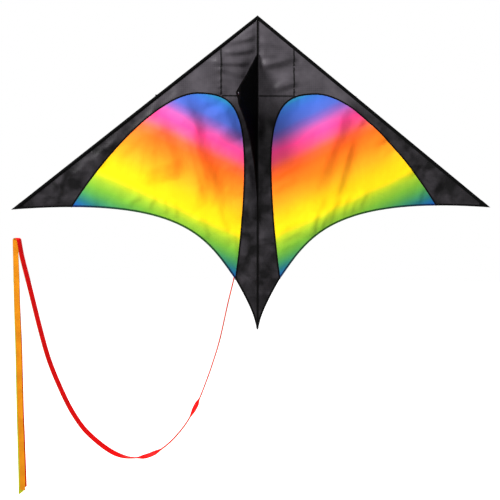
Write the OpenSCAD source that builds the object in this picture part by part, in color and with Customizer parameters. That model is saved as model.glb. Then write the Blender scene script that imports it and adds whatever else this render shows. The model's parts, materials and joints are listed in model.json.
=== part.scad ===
// Single-line delta kite: swept cloth sail on four rods, hinged keel with a tow
// eyelet, a pull-off spreader and three long tail ribbons.
// Origin at the nose point. +X to the kite's right as its keel side is seen,
// +Y towards the back of the sail, +Z up along the spine.

/* [Sail] */
// Wing tip to wing tip
span = 1520; // [1200:10:1800]
// How far the wing tips lie below the nose
tip_drop = 600; // [480:10:700]
// Nose to the tail end of the sail
spine_drop = 982; // [850:2:1100]
// Modelled thickness of one layer of sail cloth
cloth = 0.8; // [0.6:0.1:1.0]
// Width of the leading edge sleeve
sleeve_w = 10; // [9:0.5:12]
// Width of the tape over the curved seam of the coloured panel
seam_w = 5; // [3:0.5:7]
// Width of the trailing edge hem
hem_w = 6; // [4:0.5:8]

/* [Rods] */
// Diameter of the spine rod
spine_rod_d = 4; // [3:0.5:5]
// Diameter of the leading edge rods
edge_rod_d = 5; // [4:0.5:5.5]
// Diameter of the spreader rod
spreader_d = 5; // [4:0.5:6]
// Distance from the spine to each spreader fitting
fitting_x = 312; // [260:2:340]
// How far behind the sail the spreader lies
spreader_y = 9.5; // [9.5:0.5:12]

/* [Keel] */
// Angle that the keel leans to the left of straight out
keel_lean = 28; // [0:1:30]
// Reach of the keel from the spine to the tow corner
keel_reach = 199; // [150:1:220]
// Where the keel's front edge starts below the nose
keel_top = 117; // [80:1:160]
// Where the keel's rear edge ends below the nose
keel_foot = 640; // [500:5:700]
// Radius of the hole through the tow eyelet
eyelet_r = 2; // [1.5:0.1:2.5]

/* [Tail] */
// Width of each tail ribbon
ribbon_w = 16; // [10:1:20]
// Modelled thickness of a ribbon
ribbon_t = 0.4; // [0.3:0.05:0.5]
// Distance between the middles of two stacked ribbons
ribbon_step = 0.7; // [0.6:0.1:1.0]

/* [Hidden] */

$fn = 48;
black_cloth = [0.22, 0.21, 0.22];
black_tape = [0.05, 0.05, 0.05];
black_vinyl = [0.08, 0.08, 0.09];
rod_black = [0.12, 0.12, 0.13];

half = span / 2;
tip = [half, -tip_drop];
edge_len = norm(tip);
edge_angle = atan2(tip_drop, half);
along_edge = [cos(edge_angle), -sin(edge_angle)];
inward = [-sin(edge_angle), -cos(edge_angle)];

// Clear gap between the wing cloth and the hinge axis, and the sizes of the spine's tubes
root_x = 4.2;
spine_sleeve_r = 3.2;
spine_bore_r = 2.2;
cap_r = 3.9;
cap_bore_r = 3.25;
cap_len = 16;
pocket_len = 22;
pocket_round = 3;
blind_end = 7.5;
spine_rod_foot = 9;
spine_rod_top = 10;
spine_sleeve_inset = 8;

// Leading edge sleeve, measured along the edge from the nose
edge_tube_r = 4.2;
edge_bore_r = 3.7;
edge_fold_t = 1.6;
window_y = 0.5;
sleeve_start = 16;
bore_start = 24;
sleeve_end = 930;
rod_start = 32;
rod_end = 925;
rod_cap_len = 14;
rod_cap_end = 2;
rod_cap_r = 3.4;
window_len = 44;
fitting_len = 36;

// Seams lie in a thin layer on both faces of the cloth
layer = 0.6;
face = cloth / 2;
nose_seam_w = 5;

// Fitting that holds the spreader's end
fitting_r = 3.6;
cradle_wall = 1.6;
cradle_gap = 0.15;
cradle_len = 30;
cradle_past = 6;
stem_r = 2.4;
stem_x = 3;
end_cap_len = 26;
end_cap_r = 3.2;
end_cap_blind = 2;

// Keel: hinge line in front of the spine sleeve
keel_y = -5;
keel_seam_r = 0.5;
keel_hem = 6;
keel_blunt = [-15, -18];
// How much lower the tow corner lies than the top of the keel
keel_fall = 131.5;
tow_drop = keel_top + keel_fall;
eyelet_back = 18;
eyelet_below = 1.5;
eyelet_wall = 0.6;
eyelet_cut = 5;
flange_r = 4.5;
flange_t = 0.6;
patch_t = 0.5;
patch_r = 42;
hem_t = 0.4;

// Tail: cord axis at the foot of the coloured panel, behind the hem
tail_y = 11;
tail_top = -788;
tab_h = 10;
tab_w = 6;
tab_wall = 1.2;
cord_r = 1.1;
cord_bore_r = 1.3;
cord_out = 4;
knot_r = 2.4;
knot_lift = 2.6;
head_h = 12;
head_wall = 0.5;

// Swag of the tail ribbons from the head to the top of the fold, as x and z
swag = [
    [-72, -814.5], [-78, -840], [-94, -905], [-116, -1003], [-135, -1068], [-160, -1140],
    [-190, -1212], [-236, -1290], [-302, -1354], [-375, -1380], [-450, -1364],
    [-530, -1300], [-580, -1230], [-620, -1145], [-652, -1060], [-676, -970],
    [-696, -885], [-714, -808], [-729, -745], [-738, -692],
];
// Hanging leg behind the fold, as x and z
leg = [
    [-749, -692], [-748, -745], [-747, -800], [-746, -880], [-744, -960],
    [-742, -1040], [-741, -1130], [-740, -1220], [-738, -1310], [-736, -1400], [-735, -1472],
];
fold_r = 4;

function bezier(p, n) = [
    for (i = [0:n])
        let (t = i / n, s = 1 - t)
            s^3 * p[0] + 3 * s^2 * t * p[1] + 3 * s * t^2 * p[2] + t^3 * p[3]
];
function slice(list, first, last) = [for (i = [first:last]) list[i]];
function reversed(list) = [for (i = [len(list) - 1:-1:0]) list[i]];
function at(across, down) = [across * half, -down * spine_drop];

// Unit vector to the left of a run of points at point i
function side_of(p, i) =
    let (d = p[min(i + 1, len(p) - 1)] - p[max(i - 1, 0)])
        [-d[1], d[0]] / norm(d);
function shifted(p, w) = [for (i = [0:len(p) - 1]) p[i] + w * side_of(p, i)];
function edge_point(s, w) = s * along_edge + w * inward;

// Outline curves of the right wing, from tip to tail
foot = at(0.092, 0.838);
tail_end = [root_x, -0.99 * spine_drop];
edge_steps = 40;
end_steps = 10;
corner_step = 5;
pocket_step = 1;
outer_edge = bezier([tip, at(0.29, 0.57), at(0.21, 0.713), foot], edge_steps);
inner_edge = bezier([foot, at(0.053, 0.891), at(0.014, 0.947), tail_end], end_steps);
corner = outer_edge[corner_step];

// Outline of the coloured panel, from its outer corner over the arch to its foot
arch_top = at(0.229, 0.2464);
waist = at(0.054, 0.484);
outer_steps = 24;
inner_steps = 16;
side_steps = 12;
arch_outer = bezier([corner, at(0.618, 0.428), at(0.382, 0.234), arch_top], outer_steps);
arch_inner = bezier([arch_top, at(0.118, 0.2495), at(0.053, 0.28), waist], inner_steps);
panel_side = bezier([waist, at(0.059, 0.621), at(0.072, 0.723), foot], side_steps);
seam_step = 4;
joint = arch_inner[seam_step];

// Inner line of the leading edge sleeve at a given x
function sleeve_z(x) = -x * tan(edge_angle) - sleeve_w / cos(edge_angle);
sleeve_corner = edge_point(sleeve_end, sleeve_w);
panel_line = concat(
    arch_outer, slice(arch_inner, 1, inner_steps), slice(panel_side, 1, side_steps)
);

// A flat sheet in the X-Z plane from y = back to y = front
module sheet(points, front, back) {
    translate([0, back, 0])
        rotate([90, 0, 0])
            linear_extrude(back - front)
                polygon(points);
}

// The same outline as a layer on the front and on the back of the cloth
module both_faces() {
    for (y = [-face, face + layer])
        translate([0, y, 0])
            rotate([90, 0, 0])
                linear_extrude(layer)
                    children();
}

module on_side(side) {
    if (side < 0)
        mirror([1, 0, 0]) children();
    else
        children();
}

// Children drawn along +X are laid along the leading edge, w inside its outer line
module along_leading_edge(s, w) {
    p = edge_point(s, w);
    translate([p[0], 0, p[1]])
        rotate([0, edge_angle, 0])
            rotate([0, 90, 0])
                children();
}

module spine_rod() {
    color(rod_black)
        translate([0, 0, -spine_drop + spine_rod_foot])
            cylinder(r = spine_rod_d / 2, h = spine_drop - spine_rod_foot - spine_rod_top);
}

module spine_sleeve() {
    color(black_tape)
        translate([0, 0, -spine_drop + spine_sleeve_inset])
            difference() {
                cylinder(r = spine_sleeve_r, h = spine_drop - 2 * spine_sleeve_inset);
                translate([0, 0, -1])
                    cylinder(r = spine_bore_r, h = spine_drop);
            }
}

module nose_cap() {
    color(black_tape)
        rotate_extrude()
            polygon([
                [0, 0], [cap_r, -cap_r * tan(edge_angle)], [cap_r, -cap_len],
                [cap_bore_r, -cap_len], [cap_bore_r, -blind_end], [0, -blind_end],
            ]);
}

module tail_pocket() {
    color(black_tape)
        translate([0, 0, -spine_drop])
            rotate_extrude()
                polygon([
                    [0, 0], [cap_r - 1, 0], [cap_r, pocket_round], [cap_r, pocket_len],
                    [cap_bore_r, pocket_len], [cap_bore_r, blind_end], [0, blind_end],
                ]);
}

// Height of the spreader: the leading edge rod's middle line at the fitting
rod_line_w = edge_tube_r;
spreader_z = -fitting_x * tan(edge_angle) - rod_line_w / cos(edge_angle);
fitting_s = fitting_x / cos(edge_angle) + rod_line_w * tan(edge_angle);
spreader_half = fitting_x - end_cap_blind;

module spreader_rod() {
    color(rod_black)
        translate([-spreader_half, spreader_y, spreader_z])
            rotate([0, 90, 0])
                cylinder(r = spreader_d / 2, h = 2 * spreader_half);
}

module spreader_end(side) {
    color(black_vinyl)
        on_side(side)
            translate([fitting_x - end_cap_len, spreader_y, spreader_z])
                rotate([0, 90, 0])
                    difference() {
                        cylinder(r = end_cap_r, h = end_cap_len);
                        translate([0, 0, -end_cap_blind])
                            cylinder(r = spreader_d / 2, h = end_cap_len);
                    }
}

module nose_panel(side) {
    color(black_cloth)
        on_side(side)
            sheet([
                [root_x, sleeve_z(root_x)], [joint[0], sleeve_z(joint[0])],
                joint, [root_x, joint[1]],
            ], -face, face);
}

module edge_band(side) {
    color(black_cloth)
        on_side(side)
            sheet(concat(
                [[joint[0], sleeve_z(joint[0])], sleeve_corner],
                slice(outer_edge, pocket_step, corner_step),
                slice(arch_outer, 1, outer_steps),
                slice(arch_inner, 1, seam_step)
            ), -face, face);
}

module rainbow_panel(side) {
    color("gold")
        on_side(side)
            sheet(concat(
                panel_line,
                reversed(slice(outer_edge, corner_step + 1, edge_steps - 1))
            ), -face, face);
}

module centre_strip(side) {
    color(black_cloth)
        on_side(side)
            sheet(concat(
                [[root_x, joint[1]]],
                slice(arch_inner, seam_step, inner_steps),
                slice(panel_side, 1, side_steps),
                slice(inner_edge, 1, end_steps)
            ), -face, face);
}

module edge_sleeve(side) {
    color(black_tape)
        on_side(side)
            difference() {
                union() {
                    along_leading_edge(sleeve_start, edge_tube_r) {
                        cylinder(r = edge_tube_r, h = sleeve_end - sleeve_start);
                        translate([0, -face, 0])
                            cube([sleeve_w - edge_tube_r, cloth, sleeve_end - sleeve_start]);
                    }
                    sheet([
                        [root_x, -root_x * tan(edge_angle)], edge_point(bore_start - 1, 1),
                        edge_point(bore_start - 1, sleeve_w - 1), [root_x, sleeve_z(root_x)],
                    ], -edge_fold_t, edge_fold_t);
                }
                along_leading_edge(bore_start, edge_tube_r)
                    cylinder(r = edge_bore_r, h = edge_len);
                along_leading_edge(fitting_s - window_len / 2, edge_tube_r)
                    translate([-sleeve_w, window_y, 0])
                        cube([2 * sleeve_w, sleeve_w, window_len]);
            }
}

module edge_rod(side) {
    color(rod_black)
        on_side(side)
            along_leading_edge(rod_start, edge_tube_r)
                cylinder(r = edge_rod_d / 2, h = rod_end - rod_start);
}

module rod_cap() {
    difference() {
        translate([0, 0, -rod_cap_end])
            cylinder(r = rod_cap_r, h = rod_cap_len);
        cylinder(r = edge_rod_d / 2, h = rod_cap_len);
    }
}

module rod_caps(side) {
    color(black_vinyl)
        on_side(side) {
            along_leading_edge(rod_start, edge_tube_r)
                rod_cap();
            along_leading_edge(rod_end, edge_tube_r)
                mirror([0, 0, 1]) rod_cap();
        }
}

// A tube round the leading edge rod with an open cradle for the spreader's end behind it
module fitting(side) {
    inner = end_cap_r + cradle_gap;
    outer = inner + cradle_wall;
    color(black_vinyl)
        on_side(side)
            difference() {
                union() {
                    along_leading_edge(fitting_s - fitting_len / 2, edge_tube_r)
                        cylinder(r = fitting_r, h = fitting_len);
                    translate([fitting_x - stem_x, 0, spreader_z])
                        rotate([-90, 0, 0])
                            cylinder(r = stem_r, h = spreader_y - inner - cradle_gap);
                    translate([fitting_x - cradle_len + cradle_past, spreader_y, spreader_z])
                        rotate([0, 90, 0])
                            cylinder(r = outer, h = cradle_len);
                }
                along_leading_edge(fitting_s - fitting_len, edge_tube_r)
                    cylinder(r = edge_rod_d / 2, h = 2 * fitting_len);
                translate([fitting_x - cradle_len, spreader_y, spreader_z])
                    rotate([0, 90, 0])
                        cylinder(r = inner, h = cradle_len + 1);
                translate([fitting_x - cradle_len, spreader_y, spreader_z - inner])
                    cube([cradle_len + 1, 2 * outer, 2 * inner]);
            }
}

module tip_pocket(side) {
    color(black_tape)
        on_side(side)
            sheet([
                edge_point(sleeve_end, 0), tip, outer_edge[pocket_step], sleeve_corner,
            ], -edge_fold_t, edge_fold_t);
}

// The tape lies over the seam line, half on the coloured panel and half on the black cloth
module tape_outline() {
    polygon(concat(shifted(panel_line, seam_w / 2), reversed(shifted(panel_line, -seam_w / 2))));
}

module panel_tape(side) {
    color(black_tape)
        on_side(side)
            both_faces()
                tape_outline();
}

module nose_seam(side) {
    w = nose_seam_w;
    color(black_tape)
        on_side(side)
            both_faces()
                difference() {
                    polygon([
                        [joint[0] - w, sleeve_z(joint[0] - w)], [joint[0], sleeve_z(joint[0])],
                        joint, [root_x, joint[1]], [root_x, joint[1] + w],
                        [joint[0] - w, joint[1] + w],
                    ]);
                    tape_outline();
                }
}

module trailing_hem(side) {
    line = concat(
        slice(outer_edge, pocket_step, edge_steps), slice(inner_edge, 1, end_steps - 1)
    );
    color(black_tape)
        on_side(side)
            both_faces()
                difference() {
                    intersection() {
                        polygon(concat(line, reversed(shifted(line, -hem_w))));
                        translate([root_x, -spine_drop])
                            square([half, spine_drop]);
                    }
                    tape_outline();
                }
}

// Keel outline, as reach from its hinge line and height
tow_corner = [keel_reach, -tow_drop];
function keel_at(out, down) = [out * keel_reach, -tow_drop - down * (keel_foot - tow_drop)];
keel_steps = 20;
keel_hem_steps = 16;
keel_rear = bezier([
    keel_at(0.88, 0.09), keel_at(0.553, 0.245), keel_at(0.025, 0.48), [keel_seam_r, -keel_foot],
], keel_steps);
eyelet_at = [keel_reach - eyelet_back, -tow_drop - eyelet_below];
keel_outline = concat(
    [[keel_seam_r / 2, -keel_top], tow_corner, tow_corner + keel_blunt],
    keel_rear,
    [[keel_seam_r / 2, -keel_foot]]
);

// Children drawn with x as reach and y as height become a layer of the leaning keel
module keel_layer(from, to) {
    translate([0, keel_y, 0])
        rotate([0, 0, -90 - keel_lean])
            translate([0, to, 0])
                rotate([90, 0, 0])
                    linear_extrude(to - from)
                        children();
}

module keel_both_faces(thick) {
    keel_layer(face, face + thick)
        children();
    keel_layer(-face - thick, -face)
        children();
}

// A round piece on the eyelet's axis, between two distances from the keel's middle plane
module keel_disc(r, from, to) {
    translate([0, keel_y, 0])
        rotate([0, 0, -90 - keel_lean])
            translate([eyelet_at[0], to, eyelet_at[1]])
                rotate([90, 0, 0])
                    cylinder(r = r, h = to - from);
}

module patch_outline() {
    intersection() {
        polygon(keel_outline);
        translate(tow_corner)
            circle(r = patch_r);
    }
}

eyelet_out = face + patch_t;

module keel_panel() {
    color(black_cloth)
        difference() {
            union() {
                keel_layer(-face, face)
                    polygon(keel_outline);
                translate([0, keel_y, -keel_foot])
                    cylinder(r = keel_seam_r, h = keel_foot - keel_top);
            }
            keel_disc(eyelet_r + eyelet_wall, -eyelet_cut, eyelet_cut);
        }
}

module keel_front_hem() {
    run = [[keel_hem, -keel_top - keel_hem * keel_fall / keel_reach], tow_corner];
    color(black_tape)
        keel_both_faces(hem_t)
            difference() {
                intersection() {
                    polygon(concat(run, reversed(shifted(run, -keel_hem))));
                    polygon(keel_outline);
                }
                patch_outline();
            }
}

module keel_rear_hem() {
    run = slice(keel_rear, 0, keel_hem_steps);
    color(black_tape)
        keel_both_faces(hem_t)
            difference() {
                polygon(concat(run, reversed(shifted(run, -keel_hem))));
                patch_outline();
            }
}

module tow_patch() {
    color(black_tape)
        difference() {
            keel_both_faces(patch_t)
                patch_outline();
            keel_disc(eyelet_r + eyelet_wall, -eyelet_cut, eyelet_cut);
        }
}

module tow_eyelet() {
    color("silver")
        difference() {
            union() {
                keel_disc(eyelet_r + eyelet_wall, -eyelet_out - flange_t, eyelet_out + flange_t);
                keel_disc(flange_r, eyelet_out, eyelet_out + flange_t);
            }
            keel_disc(eyelet_r, -eyelet_cut, eyelet_cut);
        }
}

module tow_washer() {
    color("silver")
        difference() {
            keel_disc(flange_r, -eyelet_out - flange_t, -eyelet_out);
            keel_disc(eyelet_r + eyelet_wall, -eyelet_cut, eyelet_cut);
        }
}

tail_x = swag[0][0];

module tail_tab() {
    back = tail_y + cord_bore_r + tab_wall;
    color(black_tape)
        difference() {
            translate([tail_x - tab_w / 2, face + layer, tail_top - tab_h])
                cube([tab_w, back - face - layer, tab_h]);
            translate([tail_x, tail_y, tail_top - tab_h - 1])
                cylinder(r = cord_bore_r, h = tab_h + 2);
        }
}

module tail_cord() {
    color(black_tape)
        translate([tail_x, tail_y, 0]) {
            translate([0, 0, tail_top - tab_h - cord_out])
                cylinder(r = cord_r, h = tab_h + cord_out + knot_lift);
            translate([0, 0, tail_top + knot_lift])
                sphere(r = knot_r);
        }
}

module tail_head() {
    top = tail_top - tab_h - cord_out;
    stack = 2 * ribbon_step + ribbon_t + 2 * head_wall;
    color("red")
        translate([tail_x - stack / 2, tail_y - ribbon_w / 2 + head_wall, top - head_h])
            cube([stack, ribbon_w - 2 * head_wall, head_h]);
}

// A smooth curve through a run of points, in n[i] steps from point i to the next: each
// entry is its place along the run, counted in points, and its position
function spline(p, n) = [
    for (i = [0:len(p) - 2], j = [0:n[i] - 1])
        let (
            a = p[max(i - 1, 0)], b = p[i], c = p[i + 1], d = p[min(i + 2, len(p) - 1)],
            t = j / n[i]
        )
            [i + t, b + 0.5 * t * (c - a + t * (2 * a - 5 * b + 4 * c - d
                                                + t * (3 * b - a - 3 * c + d)))]
];

function between(x, low, high) = min(max((x - low) / (high - low), 0), 1);
function smooth(x) = x * x * (3 - 2 * x);
function rise(x, low, high) = smooth(between(x, low, high));

// Turn of the ribbons about their length at a place on the swag: 90 shows an edge to the
// front, 0 shows the face. The face flashes twice on the way down and stays in front
// past the lowest point.
function swag_turn(place) =
    90 - 45 * rise(place, 5.8, 6.1) + 45 * rise(place, 6.2, 6.6)
       - 45 * rise(place, 8, 8.4) + 45 * rise(place, 8.7, 9.1) - 60 * rise(place, 9.1, 10.2);
twisted_from = 5;
twisted_to = 10;
twist_steps = 12;
plain_steps = 3;

swag_line = spline(swag, [
    for (i = [0:len(swag) - 2])
        i >= twisted_from && i <= twisted_to ? twist_steps : plain_steps
]);
swag_points = [for (entry = swag_line) entry[1]];
leg_points = [for (entry = spline(leg, [for (i = leg) 2])) entry[1]];
fold_steps = 6;
swag_end = swag[len(swag) - 1];

// Each station of a ribbon: its middle, the way across it and the way out of its front face
swag_stations = [
    for (i = [0:len(swag_line) - 1])
        let (
            p = swag_points[i],
            s = side_of(swag_points, i),
            turn = swag_turn(swag_line[i][0]),
            flat = [s[0], 0, s[1]],
            away = [0, 1, 0]
        )
            [[p[0], tail_y, p[1]], -cos(turn) * flat + sin(turn) * away,
             -sin(turn) * flat - cos(turn) * away]
];
fold_stations = [
    for (i = [0:fold_steps])
        let (
            a = 180 * i / fold_steps,
            x = swag_end[0] + (leg[0][0] - swag_end[0]) * i / fold_steps
        )
            [[x, tail_y + fold_r * (1 - cos(a)), swag_end[1] + fold_r * sin(a)],
             [1, 0, 0], [0, -cos(a), sin(a)]]
];
leg_stations = [
    for (p = concat(slice(leg_points, 1, len(leg_points) - 1), [leg[len(leg) - 1]]))
        [[p[0], tail_y + 2 * fold_r, p[1]], [1, 0, 0], [0, 1, 0]]
];
stations = concat(swag_stations, fold_stations, leg_stations);
first_leg = len(swag_stations) + len(fold_stations);

// One ribbon of the stack: level 1 is in front on the swag, -1 behind; it drifts
// sideways by up to drift on the hanging leg and stops short of the end
module ribbon(level, drift, short) {
    last = len(stations) - 1;
    rings = [
        for (i = [0:last])
            let (
                st = stations[i],
                leg_part = between(i, first_leg, last),
                end_lift = i == last ? [0, 0, short] : [0, 0, 0],
                mid = st[0] + level * ribbon_step * st[2] + [drift * leg_part, 0, 0] + end_lift,
                w = st[1] * ribbon_w / 2,
                t = st[2] * ribbon_t / 2
            )
                each [mid - w - t, mid + w - t, mid + w + t, mid - w + t]
    ];
    n = last + 1;
    polyhedron(
        points = rings,
        faces = concat(
            [[3, 2, 1, 0]],
            [for (i = [0:n - 2], k = [0:3])
                let (a = 4 * i + k, b = 4 * i + (k + 1) % 4)
                    each k < 2 ? [[a, b, b + 4], [a, b + 4, a + 4]]
                               : [[a, b, a + 4], [b, b + 4, a + 4]]],
            [[4 * n - 4, 4 * n - 3, 4 * n - 2, 4 * n - 1]]
        )
    );
}

module tail_ribbon_red() {
    color("red")
        ribbon(1, 5, 8);
}

module tail_ribbon_yellow() {
    color("yellow")
        ribbon(0, -5, -9);
}

module tail_ribbon_orange() {
    color("orange")
        ribbon(-1, 0, 0);
}

spine_rod();
spine_sleeve();
nose_cap();
tail_pocket();
spreader_rod();
spreader_end(-1);  // spreader_end_left
spreader_end(1);  // spreader_end_right
nose_panel(-1);  // left_nose_panel
edge_band(-1);  // left_edge_band
rainbow_panel(-1);  // left_rainbow_panel
centre_strip(-1);  // left_centre_strip
edge_sleeve(-1);  // left_edge_sleeve
edge_rod(-1);  // left_edge_rod
rod_caps(-1);  // left_rod_caps
fitting(-1);  // left_fitting
tip_pocket(-1);  // left_tip_pocket
panel_tape(-1);  // left_panel_tape
nose_seam(-1);  // left_nose_seam
trailing_hem(-1);  // left_trailing_hem
nose_panel(1);  // right_nose_panel
edge_band(1);  // right_edge_band
rainbow_panel(1);  // right_rainbow_panel
centre_strip(1);  // right_centre_strip
edge_sleeve(1);  // right_edge_sleeve
edge_rod(1);  // right_edge_rod
rod_caps(1);  // right_rod_caps
fitting(1);  // right_fitting
tip_pocket(1);  // right_tip_pocket
panel_tape(1);  // right_panel_tape
nose_seam(1);  // right_nose_seam
trailing_hem(1);  // right_trailing_hem
keel_panel();
keel_front_hem();
keel_rear_hem();
tow_patch();
tow_eyelet();
tow_washer();
tail_tab();
tail_cord();
tail_head();
tail_ribbon_red();
tail_ribbon_yellow();
tail_ribbon_orange();
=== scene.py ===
"""The looks of a single-line delta kite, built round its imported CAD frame."""

import json
import math

import bpy
import numpy as np
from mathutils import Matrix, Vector, noise
from mathutils.geometry import delaunay_2d_cdt
from mathutils.kdtree import KDTree


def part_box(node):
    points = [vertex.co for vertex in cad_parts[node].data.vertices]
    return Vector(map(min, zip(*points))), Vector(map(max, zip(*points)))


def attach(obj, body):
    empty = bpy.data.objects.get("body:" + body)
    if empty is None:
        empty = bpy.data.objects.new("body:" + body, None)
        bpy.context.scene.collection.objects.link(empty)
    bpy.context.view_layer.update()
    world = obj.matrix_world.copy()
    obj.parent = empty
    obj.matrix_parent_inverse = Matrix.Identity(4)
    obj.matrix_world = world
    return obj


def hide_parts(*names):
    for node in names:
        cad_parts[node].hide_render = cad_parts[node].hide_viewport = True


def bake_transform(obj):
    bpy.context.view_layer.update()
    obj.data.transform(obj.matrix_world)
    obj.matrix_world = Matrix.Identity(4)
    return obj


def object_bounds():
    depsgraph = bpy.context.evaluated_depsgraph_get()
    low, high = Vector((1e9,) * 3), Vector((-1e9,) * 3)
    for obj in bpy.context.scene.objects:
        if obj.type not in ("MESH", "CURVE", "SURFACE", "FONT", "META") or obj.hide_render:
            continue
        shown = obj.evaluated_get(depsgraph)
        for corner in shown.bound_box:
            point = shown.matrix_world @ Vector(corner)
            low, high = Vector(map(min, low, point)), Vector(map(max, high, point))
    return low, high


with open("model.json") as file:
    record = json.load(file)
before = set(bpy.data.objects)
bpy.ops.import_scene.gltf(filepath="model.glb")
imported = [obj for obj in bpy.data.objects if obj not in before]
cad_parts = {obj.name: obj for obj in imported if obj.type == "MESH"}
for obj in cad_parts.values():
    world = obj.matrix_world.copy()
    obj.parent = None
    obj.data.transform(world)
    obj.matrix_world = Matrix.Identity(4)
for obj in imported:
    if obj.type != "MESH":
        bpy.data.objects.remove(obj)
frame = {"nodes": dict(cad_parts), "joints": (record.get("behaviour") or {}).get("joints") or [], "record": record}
cad_low, cad_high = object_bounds()

MM = 0.001
SIDES = (("left", -1), ("right", 1))

# Places that come from the frame
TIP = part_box("right_tip_pocket")
HALF_SPAN = TIP[1].x
TIP_DROP = -TIP[0].z
EDGE_ANGLE = math.atan2(TIP_DROP, HALF_SPAN)
EDGE_LENGTH = math.hypot(HALF_SPAN, TIP_DROP)
SPINE_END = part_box("tail_pocket")[0].z
SPINE_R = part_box("spine_sleeve")[1].x
JOINT_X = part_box("right_nose_panel")[1].x
JOINT_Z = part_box("right_nose_panel")[0].z
SPREADER_LOW, SPREADER_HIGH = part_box("spreader_rod")
SPREADER_Z = (SPREADER_LOW.z + SPREADER_HIGH.z) / 2
TOW = next(m for m in frame["record"]["mounts"] if m["name"] == "tow_eyelet")
TOW_AT = Vector(TOW["pos_m"])
KEEL_OUT = Vector(TOW["axis"]).normalized()
KEEL_ALONG = KEEL_OUT.cross(Vector((0, 0, 1)))
KEEL_ROOT = Vector(next(j for j in frame["joints"] if j["name"] == "keel_swing")["pos_m"])

AMBIENT = 0.42

CLOTH_STEP = 6 * MM
TAPE_STEP = 2.6 * MM
CLOTH_T = 0.25 * MM

# How far a tape or hem stands off the cloth, what its middle adds to that, and how far in from
# its edge it has risen so far
HEM_LIFT, HEM_CROWN = 0.3 * MM, 0.2 * MM
CROWN_IN = 1.6 * MM


# ---------------------------------------------------------------- camera, light and floor

# The camera's place, its angles in degrees and its lens were fitted to the photo by a scratch
# script: see report.md
CAMERA_AT = (-0.6275, -3.9736, -0.4772)
CAMERA_TILT, CAMERA_TURN = 3.6, 8.64
SENSOR_W = 36
LENS = 92.376

# Name, place, width and power
LIGHTS = (
    ("key", (-2.8, -1.7, 2.1), 1.6, 385),
    ("fill", (2.2, -3.6, 0.4), 2.2, 26),
    ("back", (1.4, 2.8, 1.0), 2.0, 90),
)
LIT_POINT = Vector((0, 0, -0.5))
FLOOR_R = 9
FLOOR_BELOW = 0.12


def add_camera():
    data = bpy.data.cameras.new("camera")
    camera = bpy.data.objects.new("camera", data)
    bpy.context.scene.collection.objects.link(camera)
    camera.location = CAMERA_AT
    camera.rotation_euler = (math.radians(90 - CAMERA_TILT), 0, -math.radians(CAMERA_TURN))
    data.sensor_width = SENSOR_W
    data.lens = LENS
    data.clip_end = 60
    bpy.context.scene.camera = camera


def add_area_light(name, place, size, power):
    data = bpy.data.lights.new(name, "AREA")
    data.shape = "DISK"
    data.size = size
    data.energy = power
    light = bpy.data.objects.new(name, data)
    bpy.context.scene.collection.objects.link(light)
    light.location = place
    light.rotation_euler = (LIT_POINT - Vector(place)).to_track_quat("-Z", "Y").to_euler()


def add_world():
    """White behind the kite, with a softer white light from all round."""
    world = bpy.data.worlds.new("studio")
    bpy.context.scene.world = world
    world.use_nodes = True
    graph = Graph(world.node_tree)
    background = world.node_tree.nodes["Background"]
    background.inputs["Color"].default_value = (1, 1, 1, 1)
    seen = graph.node("ShaderNodeLightPath").outputs["Is Camera Ray"]
    graph.link(
        graph.math("MULTIPLY_ADD", seen, 1 - AMBIENT, AMBIENT), background.inputs["Strength"]
    )


def add_floor():
    """A plain white floor that runs on into the white behind it."""
    bpy.ops.mesh.primitive_circle_add(
        vertices=96, radius=FLOOR_R, fill_type="NGON", location=(0, 0, cad_low.z - FLOOR_BELOW)
    )
    floor = bpy.context.object
    floor.name = "floor"
    material, shader, graph = new_material("floor_white")
    shader.inputs["Base Color"].default_value = (0.5, 0.5, 0.5, 1)
    shader.inputs["Roughness"].default_value = 0.9
    shader.inputs["Emission Color"].default_value = (1, 1, 1, 1)
    seen = graph.node("ShaderNodeLightPath").outputs["Is Camera Ray"]
    graph.link(seen, shader.inputs["Emission Strength"])
    floor.data.materials.append(material)


def add_studio():
    add_world()
    add_floor()
    for light in LIGHTS:
        add_area_light(*light)
    bpy.context.scene.view_settings.view_transform = "Standard"


# ---------------------------------------------------------------- materials

def linear(red, green, blue):
    """A colour given from 0 to 255, as the shader takes it."""
    def curve(value):
        c = value / 255
        return c / 12.92 if c <= 0.04045 else ((c + 0.055) / 1.055) ** 2.4

    return (curve(red), curve(green), curve(blue), 1)


def new_material(name):
    material = bpy.data.materials.new(name)
    material.use_nodes = True
    nodes = material.node_tree.nodes
    return material, nodes["Principled BSDF"], Graph(material.node_tree)


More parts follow.
